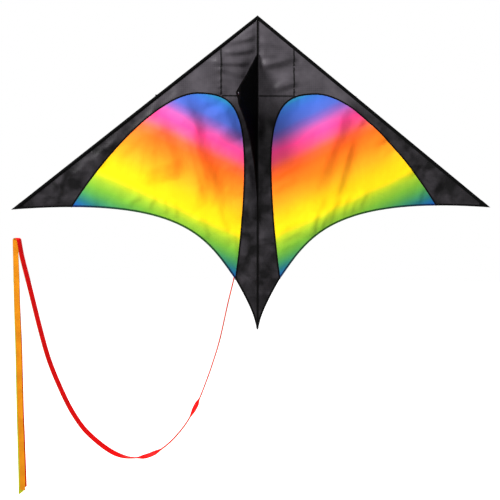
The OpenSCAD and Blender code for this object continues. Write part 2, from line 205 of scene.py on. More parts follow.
class Graph:
    """Short calls for the nodes of one material."""

    def __init__(self, tree):
        self.tree = tree

    def node(self, kind, **settings):
        node = self.tree.nodes.new(kind)
        for key, value in settings.items():
            setattr(node, key, value)
        return node

    def link(self, source, target):
        self.tree.links.new(source, target)

    def attribute(self, name):
        return self.node("ShaderNodeAttribute", attribute_name=name).outputs["Vector"]

    def split(self, vector):
        node = self.node("ShaderNodeSeparateXYZ")
        self.link(vector, node.inputs[0])
        return node.outputs

    def math(self, operation, a, b=None, c=None):
        node = self.node("ShaderNodeMath", operation=operation)
        for socket, value in zip(node.inputs, (a, b, c)):
            if value is None:
                continue
            if isinstance(value, (int, float)):
                socket.default_value = value
            else:
                self.link(value, socket)
        return node.outputs[0]

    def noise(self, vector, scale, detail=2.0, distortion=0.0):
        node = self.node("ShaderNodeTexNoise")
        node.inputs["Scale"].default_value = scale
        node.inputs["Detail"].default_value = detail
        node.inputs["Distortion"].default_value = distortion
        self.link(vector, node.inputs["Vector"])
        return node.outputs["Fac"]

    def ramp(self, value, stops):
        node = self.node("ShaderNodeValToRGB")
        elements = node.color_ramp.elements
        while len(elements) < len(stops):
            elements.new(0.5)
        for element, (place, colour) in zip(elements, stops):
            element.position = place
            element.color = colour
        self.link(value, node.inputs["Fac"])
        return node.outputs["Color"]

    def mix(self, factor, a, b, blend="MIX"):
        node = self.node("ShaderNodeMix", data_type="RGBA", blend_type=blend)
        for socket, value in ((node.inputs["Factor"], factor), (node.inputs["A"], a),
                              (node.inputs["B"], b)):
            if isinstance(value, (int, float, tuple)):
                socket.default_value = value
            else:
                self.link(value, socket)
        return node.outputs["Result"]

    def wave(self, value, pitch):
        """A line every pitch along value: 1 on the line and 0 between lines."""
        turned = self.math("MULTIPLY", value, 2 * math.pi / pitch)
        return self.math("MULTIPLY_ADD", self.math("COSINE", turned), 0.5, 0.5)

    def finish(self, shader, colour, roughness, height, depth, shine=0.5):
        """Gives the material its colour, its roughness, its sheen and its fine relief."""
        self.link(colour, shader.inputs["Base Color"])
        shader.inputs["Roughness"].default_value = roughness
        shader.inputs["Specular IOR Level"].default_value = shine
        node = self.node("ShaderNodeBump")
        node.inputs["Distance"].default_value = depth
        node.inputs["Strength"].default_value = 1.0
        self.link(height, node.inputs["Height"])
        self.link(node.outputs["Normal"], shader.inputs["Normal"])


RIPSTOP_PITCH = 6 * MM
WEAVE_PITCH = 0.9 * MM

# A row of stitches: how far in from the cloth's edge it runs, and half its width
STITCH_IN, STITCH_HALF = 1.3 * MM, 0.28 * MM


def ripstop_height(graph, flat):
    """The height of ripstop cloth: fine plain weave with a raised double thread every few mm."""
    across, down, _ = graph.split(flat)
    grid = graph.math(
        "MAXIMUM",
        graph.math("POWER", graph.wave(across, RIPSTOP_PITCH), 10),
        graph.math("POWER", graph.wave(down, RIPSTOP_PITCH), 10),
    )
    weave = graph.math("MULTIPLY", graph.wave(across, WEAVE_PITCH), graph.wave(down, WEAVE_PITCH))
    return grid, graph.math("MULTIPLY_ADD", weave, 0.35, grid)


def ripstop(name, colour, lighter, shine):
    """Thin black sailcloth whose raised threads catch a little more light. Its colour has darker
    patches below the nose panels, which imitate the shade there in the photo."""
    material, shader, graph = new_material(name)
    flat = graph.attribute("flat")
    grid, height = ripstop_height(graph, flat)
    base = graph.ramp(graph.noise(flat, 14, 3), ((0.35, colour), (0.7, lighter)))
    thread = graph.mix(graph.math("MULTIPLY", grid, 0.5), base, lighter)
    down = graph.math("MULTIPLY", graph.split(flat)[1], -1.0)
    patches = graph.ramp(graph.noise(flat, 20, 3, 0.4),
                         ((0.36, (0.06, 0.06, 0.06, 1)), (0.68, (0.5, 0.5, 0.5, 1))))
    below = graph.ramp(down, ((0.25, (0, 0, 0, 1)), (0.33, (1, 1, 1, 1))))
    shade = graph.mix(below, (1.0, 1.0, 1.0, 1), patches)
    graph.finish(shader, graph.mix(1.0, thread, shade, "MULTIPLY"), 0.42, height, 0.12 * MM, shine)
    return material


# Colours of the printed cloth down a slanting line: the distance below the nose plus a share
# of the distance from the spine, in metres. They are as seen in full light. Most of the stops,
# and the slant, follow what a scratch script measured over the photo: see report.md.
PRINT_SLANT = 0.46
PRINT_FROM, PRINT_TO = 0.30, 0.90
PRINT = (
    (0.305, (45, 165, 195)), (0.325, (60, 130, 225)), (0.350, (75, 120, 230)),
    (0.380, (90, 115, 220)), (0.393, (120, 105, 205)), (0.408, (165, 105, 200)),
    (0.425, (232, 100, 190)), (0.450, (255, 85, 175)), (0.474, (255, 98, 150)),
    (0.492, (255, 112, 100)), (0.505, (255, 115, 60)), (0.530, (255, 128, 32)),
    (0.576, (255, 160, 28)), (0.618, (255, 198, 30)), (0.664, (255, 238, 14)),
    (0.705, (255, 255, 8)), (0.724, (222, 240, 36)), (0.740, (180, 224, 52)),
    (0.765, (135, 205, 60)), (0.787, (98, 182, 80)), (0.802, (72, 165, 105)),
    (0.822, (40, 130, 135)), (0.855, (15, 88, 205)),
)
FULL_LIGHT = 1.6


def ink(red, green, blue):
    """A printed colour as the cloth carries it, under light stronger than the picture shows: a
    red that is at its limit there stays strong in the shade."""
    r, g, b, _ = linear(red, green, blue)
    return (0.95 if red > 250 else r / FULL_LIGHT, g / FULL_LIGHT, b / FULL_LIGHT, 1)


def print_colour(graph, flat):
    across, down, _ = graph.split(flat)
    slant = graph.math("MULTIPLY_ADD", graph.math("ABSOLUTE", across), PRINT_SLANT,
                       graph.math("MULTIPLY", down, -1.0))
    soft = graph.math("MULTIPLY_ADD", graph.noise(flat, 9, 2), 0.012, -0.006)
    place = graph.math("ADD", slant, soft)
    share = graph.math("DIVIDE", graph.math("SUBTRACT", place, PRINT_FROM), PRINT_TO - PRINT_FROM)
    return graph.ramp(share, [((c - PRINT_FROM) / (PRINT_TO - PRINT_FROM), ink(*rgb))
                              for c, rgb in PRINT])


def rainbow_cloth():
    material, shader, graph = new_material("rainbow_cloth")
    flat = graph.attribute("flat")
    _, height = ripstop_height(graph, flat)
    thread = graph.math("MULTIPLY_ADD", height, 0.05, 0.95)
    colour = graph.mix(1.0, print_colour(graph, flat), thread, "MULTIPLY")
    graph.finish(shader, colour, 0.6, height, 0.06 * MM, 0.12)
    return material


def panel_hem():
    """The printed cloth's own folded edge, its print painted much darker than the single cloth: painted shade for
    the dim doubled edge.
    """
    material, shader, graph = new_material("panel_hem")
    flat = graph.attribute("flat")
    _, edge, _ = graph.split(graph.attribute("seam"))
    _, height = ripstop_height(graph, flat)
    # Painted shade: along the hem the print is multiplied down to between a tenth and a fifth of its brightness
    hem_painted_shade = graph.mix(1.0, print_colour(graph, flat), (0.10, 0.16, 0.20, 1), "MULTIPLY")
    row = graph.math("COMPARE", edge, STITCH_IN, STITCH_HALF)
    graph.finish(shader, hem_painted_shade, 0.7, graph.math("ADD", height, row), 0.1 * MM, 0.12)
    return material


def tape(name, colour, stitch_colour):
    """Woven binding with a row of stitches a little way in from each edge."""
    material, shader, graph = new_material(name)
    along, edge, _ = graph.split(graph.attribute("seam"))
    flat = graph.attribute("flat")
    ribs = graph.wave(along, 1.1 * MM)
    row = graph.math("COMPARE", edge, STITCH_IN, STITCH_HALF)
    dash = graph.math("GREATER_THAN", graph.wave(along, 3.2 * MM), 0.25)
    stitch = graph.math("MULTIPLY", row, dash)
    cloudy = graph.noise(flat, 60, 2)
    base = graph.ramp(cloudy, ((0.3, colour), (0.8, tuple(1.6 * c for c in colour[:3]) + (1,))))
    height = graph.math("MULTIPLY_ADD", stitch, 1.5, graph.math("MULTIPLY", ribs, 0.4))
    stitched = graph.mix(stitch, base, stitch_colour)
    graph.finish(shader, stitched, 0.85, height, 0.15 * MM, 0.08)
    return material


def ribbon_cloth(name, colour, darker):
    material, shader, graph = new_material(name)
    seam = graph.attribute("seam")
    along, across, _ = graph.split(seam)
    weave = graph.math("MULTIPLY", graph.wave(along, WEAVE_PITCH), graph.wave(across, WEAVE_PITCH))
    cloudy = graph.noise(seam, 30, 3)
    base = graph.ramp(cloudy, ((0.3, darker), (0.6, colour)))
    graph.finish(shader, base, 0.55, weave, 0.05 * MM, 0.1)
    return material


def pultruded_rod():
    """Satin black fibreglass, with fine streaks along the rod."""
    material, shader, graph = new_material("black_rod")
    where = graph.node("ShaderNodeTexCoord").outputs["Object"]
    streak = graph.noise(where, 900, 1)
    base = graph.ramp(streak, ((0.35, (0.008, 0.008, 0.009, 1)), (0.7, (0.03, 0.03, 0.033, 1))))
    shader.inputs["Coat Weight"].default_value = 0.2
    graph.finish(shader, base, 0.3, streak, 0.03 * MM)
    return material


def vinyl():
    material, shader, graph = new_material("black_vinyl")
    where = graph.node("ShaderNodeTexCoord").outputs["Object"]
    grain = graph.noise(where, 1400, 2)
    dust = graph.noise(where, 90, 3)
    base = graph.ramp(dust, ((0.35, (0.010, 0.010, 0.011, 1)), (0.75, (0.028, 0.027, 0.027, 1))))
    graph.finish(shader, base, 0.42, grain, 0.04 * MM)
    return material


def plated_metal():
    material, shader, graph = new_material("eyelet_metal")
    where = graph.node("ShaderNodeTexCoord").outputs["Object"]
    scuff = graph.noise(where, 700, 4, 0.6)
    base = graph.ramp(scuff, ((0.3, (0.45, 0.44, 0.42, 1)), (0.65, (0.78, 0.78, 0.77, 1))))
    shader.inputs["Metallic"].default_value = 1.0
    graph.finish(shader, base, 0.24, scuff, 0.02 * MM)
    return material


def braid():
    material, shader, graph = new_material("tail_cord")
    where = graph.node("ShaderNodeTexCoord").outputs["Object"]
    x, _, z = graph.split(where)
    left = graph.wave(graph.math("ADD", z, x), 0.9 * MM)
    right = graph.wave(graph.math("SUBTRACT", z, x), 0.9 * MM)
    height = graph.math("MAXIMUM", left, right)
    base = graph.ramp(height, ((0.2, (0.006, 0.006, 0.006, 1)), (0.9, (0.03, 0.03, 0.03, 1))))
    graph.finish(shader, base, 0.8, height, 0.2 * MM)
    return material


MATERIALS = {
    "black_ripstop": ripstop("black_ripstop", linear(50, 47, 51), linear(74, 70, 75), 0.12),
    "rainbow_cloth": rainbow_cloth(),
    "black_tape": tape("black_tape", linear(3, 3, 3), linear(12, 12, 12)),
    "seam_cloth": ripstop("seam_cloth", linear(16, 15, 16), linear(30, 28, 30), 0.1),
    # The keel's cloth is painted nearly black: painted shade for a face turned away from the light, on what is
    # likely the same cloth as the sail
    "keel_painted_shade_cloth": ripstop("keel_painted_shade_cloth", linear(3, 3, 3), linear(6, 6, 7), 0.01),
    "panel_hem": panel_hem(),
    "black_rod": pultruded_rod(),
    "black_vinyl": vinyl(),
    "eyelet_metal": plated_metal(),
    "tail_cord": braid(),
    "ribbon_red": ribbon_cloth("ribbon_red", linear(200, 1, 2), linear(180, 1, 2)),
    "ribbon_yellow": ribbon_cloth("ribbon_yellow", linear(164, 168, 34), linear(150, 155, 28)),
    "ribbon_orange": ribbon_cloth("ribbon_orange", linear(198, 122, 10), linear(182, 108, 8)),
}


# ---------------------------------------------------------------- flat outlines from the frame

def face_loops(node, normal):
    """The border lines of the outermost broad face of a CAD node that looks along normal."""
    mesh = frame["nodes"][node].data
    normal = Vector(normal)
    layers = {}
    for face in mesh.polygons:
        if face.normal.dot(normal) > 0.999:
            layers.setdefault(round(face.center.dot(normal) / (0.05 * MM)), []).append(face)
    areas = {level: sum(f.area for f in faces) for level, faces in layers.items()}
    far = max(level for level, area in areas.items() if area > 0.2 * max(areas.values()))
    following = {}
    for level in (far - 1, far, far + 1):
        for face in layers.get(level, ()):
            keys = [tuple(round(c, 6) for c in mesh.vertices[i].co) for i in face.vertices]
            for a, b in zip(keys, keys[1:] + keys[:1]):
                if a != b:
                    following.setdefault(a, []).append(b)
    for a in list(following):
        for b in list(following[a]):
            if a in following.get(b, []):
                following[a].remove(b)
                following[b].remove(a)
    loops = []
    while any(following.values()):
        start = next(a for a in following if following[a])
        loop, here = [start], following[start].pop()
        while here != start:
            loop.append(here)
            here = following[here].pop()
        loops.append([Vector(p) for p in loop])
    return loops


def inside(points, loops):
    """Which of the flat points lie inside the loops, by the even and odd rule."""
    hits = np.zeros(len(points), int)
    for loop in loops:
        a = np.array(loop)
        b = np.roll(a, -1, axis=0)
        for (ax, ay), (bx, by) in zip(a, b):
            crosses = (ay > points[:, 1]) != (by > points[:, 1])
            rise = by - ay if abs(by - ay) > 1e-12 else 1e-12
            hits += crosses & (points[:, 0] < (bx - ax) * (points[:, 1] - ay) / rise + ax)
    return hits % 2 == 1


def border_points(loops, step):
    """Points about step apart round each loop, with their distance along it."""
    runs = []
    for loop in loops:
        line, walked, total = [], [], 0.0
        for a, b in zip(loop, loop[1:] + loop[:1]):
            length = math.dist(a, b)
            count = max(1, round(length / step))
            line += [(a[0] + (b[0] - a[0]) * i / count, a[1] + (b[1] - a[1]) * i / count)
                     for i in range(count)]
            walked += [total + length * i / count for i in range(count)]
            total += length
        runs.append((line, walked))
    return runs


def fill(loops, step):
    """Points and triangles over the inside of flat loops, and how each point lies to the border:
    its distance along the nearest border line and its distance from it."""
    runs = border_points(loops, step)
    points, edges, walked = [], [], []
    for line, along in runs:
        first = len(points)
        points += line
        walked += along
        edges += [(first + i, first + (i + 1) % len(line)) for i in range(len(line))]
    tree = KDTree(len(points))
    for i, p in enumerate(points):
        tree.insert((p[0], p[1], 0), i)
    tree.balance()
    low, high = np.min(points, axis=0), np.max(points, axis=0)
    row_step = step * math.sqrt(3) / 2
    rows = []
    for i, y in enumerate(np.arange(low[1] + row_step / 2, high[1], row_step)):
        xs = np.arange(low[0] + (i % 2) * step / 2, high[0], step)
        rows.append(np.stack([xs, np.full_like(xs, y)], axis=1))
    if rows:
        grid = np.concatenate(rows)
        grid = grid[inside(grid, [line for line, _ in runs])]
        points += [tuple(p) for p in grid if tree.find((p[0], p[1], 0))[2] > 0.55 * step]
    found = delaunay_2d_cdt([Vector(p) for p in points], edges, [], 0, 1e-9)
    flat = np.array([tuple(p) for p in found[0]])
    triangles = np.array([list(f) for f in found[2]])
    middles = flat[triangles].mean(axis=1)
    triangles = triangles[inside(middles, [line for line, _ in runs])]
    seam = np.zeros((len(flat), 2))
    for i, p in enumerate(flat):
        _, nearest, away = tree.find((p[0], p[1], 0))
        seam[i] = walked[nearest], away
    return flat, triangles, seam


# ---------------------------------------------------------------- the shape of the sail

# Soft folds in the cloth of each wing: points on the line where each is steepest, across and
# down from the nose, then its half width and its height, in millimetres. The first 20 lines of
# the left wing and the first 19 of the right were printed by a program.
FOLDS = {
    "left": (
        (((-262, -190), (-235, -245), (-205, -297), (-187, -337), (-180, -380), (-165, -430),
          (-143, -486), (-121, -548), (-103, -620)), 19, 19),
        (((-212, -350), (-193, -405), (-172, -473), (-150, -542)), 8, 5),
        (((-240, -320), (-220, -393), (-200, -464), (-178, -542), (-162, -598)), 9, 5.5),
        (((-323, -283), (-292, -344), (-268, -400), (-249, -455), (-237, -510)), 22, 17),
        (((-112, -260), (-90, -300), (-74, -336), (-52, -386)), 17, 9),
        (((-184, -269), (-149, -278), (-112, -275)), 4.5, 1.6),
        (((-121, -352), (-87, -368), (-49, -389)), 6, 2),
        (((-80, -667), (-65, -714), (-62, -774)), 6, 3.4),
        (((-399, -597), (-389, -578), (-361, -566)), 5, 2.2),
        (((-337, -609), (-331, -584), (-312, -566)), 5, 2),
        (((-284, -619), (-287, -591), (-296, -563)), 5, 2.4),
        (((-253, -631), (-256, -600), (-272, -569)), 5, 2.4),
        (((-150, -698), (-166, -654), (-191, -610)), 7, 3.4),
        (((-80, -717), (-103, -648), (-131, -582)), 8, 3.4),
        (((-524, -547), (-506, -568), (-497, -593)), 5, 1.8),
        (((-326, -338), (-351, -418), (-367, -498)), 10, 2.2),
        (((-311, -344), (-324, -433), (-330, -529)), 11, 2.6),
        (((-342, -356), (-385, -406), (-441, -455)), 10, 2.2),
        (((-106, -476), (-87, -476), (-65, -483)), 4.5, 1.2),
        (((-106, -542), (-80, -554), (-49, -564)), 6, 1.5),
        (((6, -30), (-28, -52), (-76, -78)), 5, 9),
        (((10, -66), (-40, -79), (-130, -96)), 5, 8),
        (((10, -102), (-61, -119), (-140, -118)), 5, 8),
        (((-20, -151), (-80, -154), (-150, -150)), 5.5, 8),
        (((-40, -196), (-80, -182), (-140, -168)), 5.5, 6),
        (((-110, -152), (-160, -146), (-220, -160)), 6, 6),
        (((-240, -210), (-290, -240), (-330, -262)), 11, 5.7),
        (((-300, -250), (-318, -290), (-330, -330)), 9, 5.7),
        (((-470, -400), (-480, -440), (-500, -480)), 12, 6.5),
        (((-520, -430), (-535, -480), (-560, -520)), 12, 5.7),
        (((-420, -355), (-440, -395), (-470, -425)), 10, 4.9),
        (((-590, -490), (-610, -520), (-640, -555)), 10, 4.6),
        (((-20, -480), (-26, -560), (-40, -640)), 9, 4.2),
        (((-36, -640), (-30, -720), (-22, -800)), 9, 3.8),
    ),
    "right": (
        (((330, -205), (299, -278), (279, -328), (264, -379), (244, -423), (225, -473),
          (206, -530), (184, -593)), 24, 20),
        (((322, -347), (299, -416), (280, -479), (261, -543), (242, -599)), 12, 8),
        (((43, -523), (75, -498), (110, -476), (145, -442)), 6, 2.8),
        (((46, -555), (84, -530), (126, -508)), 6, 1.8),
        (((43, -479), (71, -461), (107, -448)), 5, 1.4),
        (((59, -367), (84, -317), (106, -273), (122, -242)), 14, 5),
        (((125, -248), (125, -273), (122, -301)), 4.5, 1.2),
        (((181, -694), (184, -656), (197, -612)), 5.5, 3.4),
        (((203, -678), (213, -644), (232, -606)), 5.5, 3.6),
        (((229, -663), (242, -612), (268, -562)), 8, 4.4),
        (((274, -634), (281, -596), (300, -555)), 6, 2.8),
        (((300, -625), (307, -593), (326, -559)), 6, 2.8),
        (((329, -616), (336, -581), (358, -543)), 6, 2.6),
        (((523, -594), (529, -562), (545, -534)), 5, 2.6),
        (((69, -712), (104, -693), (145, -668)), 5, 1.6),
        (((69, -737), (101, -722), (139, -709)), 5, 1.6),
        (((65, -687), (97, -665), (139, -640)), 6, 1.4),
        (((158, -706), (190, -624), (232, -543)), 12, 3.4),
        (((199, -323), (173, -370), (135, -417), (97, -442)), 14, 3),
        (((-10, -131), (41, -127), (126, -134)), 4.5, 5),
        (((-16, -172), (41, -156), (72, -149), (134, -132)), 6, 11),
        (((50, -238), (80, -226), (140, -202)), 5, 8),
        (((-10, -84), (41, -92), (110, -100)), 5, 3.5),
        (((60, -226), (92, -206), (118, -190)), 7, 4.2),
        (((130, -150), (170, -160), (220, -190)), 9, 3.8),
        (((230, -220), (270, -238), (330, -262)), 11, 5.3),
        (((300, -262), (320, -300), (350, -330)), 10, 6.5),
        (((380, -320), (396, -350), (420, -390)), 11, 5.7),
        (((480, -400), (500, -440), (530, -480)), 12, 6.1),
        (((560, -455), (580, -490), (610, -530)), 11, 4.9),
        (((20, -300), (30, -340), (34, -400)), 10, 4.6),
        (((24, -600), (28, -700), (18, -800)), 9, 3.8),
    ),
}
# Every fold is steep on its lower right and slopes gently away to its upper left
STEEP_TOWARDS = np.array((0.8, -0.6))
FOLD_STEPS = 4
BILLOW = 8 * MM
PUCKER_PITCH = 21 * MM
MOST_BACK = 4 * MM


def catmull(points, n):
    """A smooth curve through points in millimetres, in n[i] steps from point i to the next,
    with the place of each along the run, counted in points."""
    p = [np.array(q, float) * MM for q in points]
    curve, place = [], []
    for i in range(len(p) - 1):
        a, b, c, d = p[max(i - 1, 0)], p[i], p[i + 1], p[min(i + 2, len(p) - 1)]
        for j in range(n[i]):
            t = j / n[i]
            curve.append(b + 0.5 * t * (c - a + t * (2 * a - 5 * b + 4 * c - d
                                                     + t * (3 * b - a - 3 * c + d))))
            place.append(i + t)
    return curve + [p[-1]], place + [len(p) - 1]


def ease(t):
    """Goes from 0 to 1 with a soft start and end."""
    return t * t * (3 - 2 * t)


def fold_height(points, line, width):
    """A soft fold along a line: 1 on its crest, steepest on the line, fading at both ends."""
    best = np.full(len(points), np.inf)
    share = np.zeros(len(points))
    side = np.zeros(len(points))
    for i in range(len(line) - 1):
        a, d = line[i], line[i + 1] - line[i]
        t = np.clip(((points - a) @ d) / (d @ d), 0, 1)
        offset = points - a - t[:, None] * d
        away = np.linalg.norm(offset, axis=1)
        near = away < best
        best[near] = away[near]
        side[near] = np.sign(offset[near] @ STEEP_TOWARDS)
        share[near] = (i + t[near]) / (len(line) - 1)
    past_crest = side * best / width + 1
    fall = np.where(past_crest > 0, 1.5, 3.0)
    ends = np.clip(np.minimum(share, 1 - share) / 0.3, 0, 1)
    return np.exp(-((past_crest / fall) ** 2)) * ease(ends)


def smooth_noise(points, scale_x, scale_z, seed):
    return np.array([
        noise.noise(Vector((x / scale_x, z / scale_z, seed))) for x, z in points
    ])


def relief(points):
    """How far the sail stands off its flat plane at flat points: negative towards the viewer."""
    x, z = points[:, 0], points[:, 1]
    out = np.abs(x)
    inward = np.maximum(0, -(z + out * math.tan(EDGE_ANGLE)) * math.cos(EDGE_ANGLE))
    along = out * math.cos(EDGE_ANGLE) - z * math.sin(EDGE_ANGLE)
    from_edge = np.clip((inward - 10 * MM) / (25 * MM), 0, 1)
    from_spine = np.clip((out - 4 * MM) / (16 * MM), 0, 1)
    held = from_edge * from_spine
    y = -BILLOW * np.tanh(inward / 0.16) * np.tanh(out / 0.10)
    for side, sign in SIDES:
        mine = x * sign > 0
        for marks, width, height in FOLDS[side]:
            line, _ = catmull(marks, [FOLD_STEPS] * (len(marks) - 1))
            y[mine] -= height * MM * fold_height(points[mine], line, width * MM)
    stripes = smooth_noise(np.stack([along, inward], axis=1), 0.022, 0.075, 3.1)
    y += 1.5 * MM * stripes * np.exp(-((inward / 0.075) ** 2))
    y += 1.2 * MM * smooth_noise(points, 0.05, 0.11, 7.7)
    y += 0.5 * MM * smooth_noise(points, 0.016, 0.02, 1.3)
    seam = np.exp(-np.abs(out - JOINT_X) / (9 * MM)) * (z > JOINT_Z - 8 * MM)
    jitter = smooth_noise(points * (1, 0.6), 0.5, 0.03, 5.0)
    y += 1.8 * MM * seam * np.sin(2 * np.pi * z / PUCKER_PITCH + 5 * jitter)
    shelf = np.exp(-np.abs(z - JOINT_Z) / (6 * MM)) * (out < JOINT_X)
    y += 0.7 * MM * shelf * np.sin(2 * np.pi * x / (17 * MM))
    return np.minimum(y * held, MOST_BACK)


# ---------------------------------------------------------------- meshes

def add_mesh(name, points, faces):
    mesh = bpy.data.meshes.new(name)
    mesh.from_pydata([tuple(p) for p in points], [], [tuple(map(int, f)) for f in faces])
    mesh.validate()
    mesh.shade_smooth()
    piece = bpy.data.objects.new(name, mesh)
    bpy.context.scene.collection.objects.link(piece)
    return piece


def add_attribute(piece, name, rows):
    """Stores two numbers for each point, for the materials."""
    attribute = piece.data.attributes.new(name, "FLOAT_VECTOR", "POINT")
    padded = np.zeros((len(rows), 3), np.float32)
    padded[:, :2] = rows
    attribute.data.foreach_set("vector", padded.ravel())


def map_cloth(piece, flat, seam):
    """Each point's place on the flat cloth, and its place along and in from the nearest edge."""
    add_attribute(piece, "flat", flat)
    add_attribute(piece, "seam", seam)


def off_plane(flat, y):
    """The flat points of the sail, each at its own distance behind the sail's plane."""
    return np.stack([flat[:, 0], y, flat[:, 1]], axis=1)


def two_layers(name, front, back, flat, triangles, seam):
    """A mesh with one layer of cloth on each face of the sail or keel."""
    faces = np.concatenate([triangles, triangles[:, ::-1] + len(flat)])
    piece = add_mesh(name, np.concatenate([front, back]), faces)
    map_cloth(piece, np.concatenate([flat, flat]), np.concatenate([seam, seam]))
    return piece


def crowned(lift, crown, seam):
    """How far a tape stands off the cloth: a little more along its middle."""
    return lift + crown * np.clip(seam[:, 1] / CROWN_IN, 0, 1)


def thicken(piece, thickness):
    modifier = piece.modifiers.new("thickness", "SOLIDIFY")
    modifier.thickness = thickness
    modifier.offset = 0
    modifier.use_even_offset = False
    rims = piece.modifiers.new("rims", "EDGE_SPLIT")
    rims.split_angle = math.radians(50)


def dress(piece, material):
    piece.data.materials.append(MATERIALS[material])


def sail_loops(node):
    return [[(p.x, p.z) for p in loop] for loop in face_loops(node, (0, -1, 0))]


def area_of(flat, triangles):
    a, b, c = (flat[triangles[:, i]] for i in range(3))
    ab, ac = b - a, c - a
    return float(np.abs(ab[:, 0] * ac[:, 1] - ab[:, 1] * ac[:, 0]).sum() / 2)


def declare_sheet(flat, triangles):
    """Works out the box round the sheet's flat outline and its true area, with a narrower width for a thin sheet;
    nothing is done with them.
    """
    spread = flat[np.unique(triangles)]
    width, length = (spread.max(axis=0) - spread.min(axis=0))
    area = area_of(flat, triangles)
    box = width * length
    if area < 0.3 * box:
        length = max(width, length)
        width = area / length


def sail_panel(node, body, material):
    """One flat-cut panel of the sail, laid over its relief."""
    flat, triangles, seam = fill(sail_loops(node), CLOTH_STEP)
    piece = add_mesh(node + "_cloth", off_plane(flat, relief(flat)), triangles)
    map_cloth(piece, flat, seam)
    thicken(piece, CLOTH_T)
    dress(piece, material)
    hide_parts(node)
    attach(piece, body)
    declare_sheet(flat, triangles)


def sail_tape(node, body, material, lift, crown, loops=None, name=None):
    """A tape or hem over both faces of the sail, a little thicker along its middle."""
    flat, triangles, seam = fill(loops or sail_loops(node), TAPE_STEP)
    stand, ground = crowned(lift, crown, seam), relief(flat)
    piece = two_layers((name or node) + "_cloth", off_plane(flat, ground - stand),
                       off_plane(flat, ground + stand), flat, triangles, seam)
    thicken(piece, CLOTH_T)
    dress(piece, material)
    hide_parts(node)
    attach(piece, body)


def trailing_hem(side):
    """The hem is black on the black cloth and printed along the coloured panel."""
    node = f"{side}_trailing_hem"
    low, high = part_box(f"{side}_rainbow_panel")
    for k, loop in enumerate(sail_loops(node)):
        middle = np.mean(loop, axis=0)
        printed = low.x < middle[0] < high.x and abs(middle[0]) > 100 * MM
        sail_tape(node, f"{side}_wing", "panel_hem" if printed else "black_tape",
                  HEM_LIFT, HEM_CROWN, [loop], f"{node}_{k + 1}")


# ---------------------------------------------------------------- sleeves along the rods

SLEEVE_W = 11 * MM
ROD_W = 4.2 * MM
WRAP_W, WRAP_Y = 4.0 * MM, 3.8 * MM
FLANGE_Y = 0.45 * MM
MITRE_X = 0.8 * MM
SLEEVE_END = EDGE_LENGTH - 32 * MM
WINDOW_HALF = 21 * MM
FITTING_S = (-SPREADER_Z - ROD_W * math.cos(EDGE_ANGLE)) / math.sin(EDGE_ANGLE)


def edge_place(sign, s, w, y):
    """A point at s along the leading edge, w inside its outer line and y behind the sail."""
    x = s * math.cos(EDGE_ANGLE) - w * math.sin(EDGE_ANGLE)
    z = -s * math.sin(EDGE_ANGLE) - w * math.cos(EDGE_ANGLE)
    return Vector((sign * x, y, z))


def sleeve_profile():
    """The folded cloth seen end on, as w and y: front flange, round the rod, back flange."""
    turn = np.radians(np.linspace(-38, -322, 23))
    wrap = [(ROD_W + WRAP_W * math.cos(a), WRAP_Y * math.sin(a)) for a in turn]
    front = [(SLEEVE_W, -FLANGE_Y), (SLEEVE_W - 0.9 * MM, -1.1 * FLANGE_Y)]
    back = [(w, -y) for w, y in reversed(front)]
    return front + wrap + back


def grid_faces(rows, columns, closed=False):
    wide = columns if closed else columns - 1
    return [
        (i * columns + j, i * columns + (j + 1) % columns,
         (i + 1) * columns + (j + 1) % columns, (i + 1) * columns + j)
        for i in range(rows - 1) for j in range(wide)
    ]


def edge_sleeve(side, sign):
    """Cloth folded round the leading edge rod and sewn along its inner side. Behind the
    spreader's fitting it is cut away, so that the fitting stands out. At the nose its front is
    cut back, so that the two sleeves stay clear of each other as a wing folds."""
    profile = sleeve_profile()
    rows = 190
    points, flat, seam = [], [], []
    for i in range(rows):
        share = i / (rows - 1)
        for j, (w, y) in enumerate(profile):
            clear = MITRE_X + max(0, -y)
            first = (clear + w * math.sin(EDGE_ANGLE)) / math.cos(EDGE_ANGLE)
            s = first + share * (SLEEVE_END - first)
            ripple = noise.noise(Vector((s / 0.016, j * 0.35, 2.0 + sign)))
            loose = 1 + 0.05 * ripple * min(1, abs(y) / (2 * MM))
            points.append(edge_place(sign, s, w, y * loose))
            flat.append((s, w + (0.02 if y > 0 else 0)))
            seam.append((s, SLEEVE_W - w))
    faces = []
    for face in grid_faces(rows, len(profile)):
        middle = sum((points[k] for k in face), Vector()) / 4
        s = abs(middle.x) * math.cos(EDGE_ANGLE) - middle.z * math.sin(EDGE_ANGLE)
        if not (abs(s - FITTING_S) < WINDOW_HALF and middle.y > 0.8 * MM):
            faces.append(face)
    piece = add_mesh(f"{side}_edge_sleeve_cloth", points, faces)
    map_cloth(piece, flat, seam)
    thicken(piece, CLOTH_T)
    dress(piece, "black_tape")
    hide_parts(f"{side}_edge_sleeve")
    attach(piece, f"{side}_wing")


def tip_pocket(side):
    """A doubled patch over the end of the sleeve, bulging round the rod's end."""
    flat, triangles, seam = fill(sail_loops(f"{side}_tip_pocket"), 1.8 * MM)
    out = np.abs(flat[:, 0])
    s = out * math.cos(EDGE_ANGLE) - flat[:, 1] * math.sin(EDGE_ANGLE)
    w = -out * math.sin(EDGE_ANGLE) - flat[:, 1] * math.cos(EDGE_ANGLE)
    round_rod = np.sqrt(np.clip(1 - ((w - ROD_W) / (ROD_W + 0.3 * MM)) ** 2, 0, 1))
    taper = np.clip((EDGE_LENGTH - 4 * MM - s) / (26 * MM), 0, 1)
    stand = 0.6 * MM + 3.7 * MM * round_rod * ease(taper)
    piece = two_layers(f"{side}_tip_pocket_cloth", off_plane(flat, -stand),
                       off_plane(flat, stand), flat, triangles, seam)
    thicken(piece, 2 * CLOTH_T)
    dress(piece, "black_tape")
    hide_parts(f"{side}_tip_pocket")
    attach(piece, f"{side}_wing")


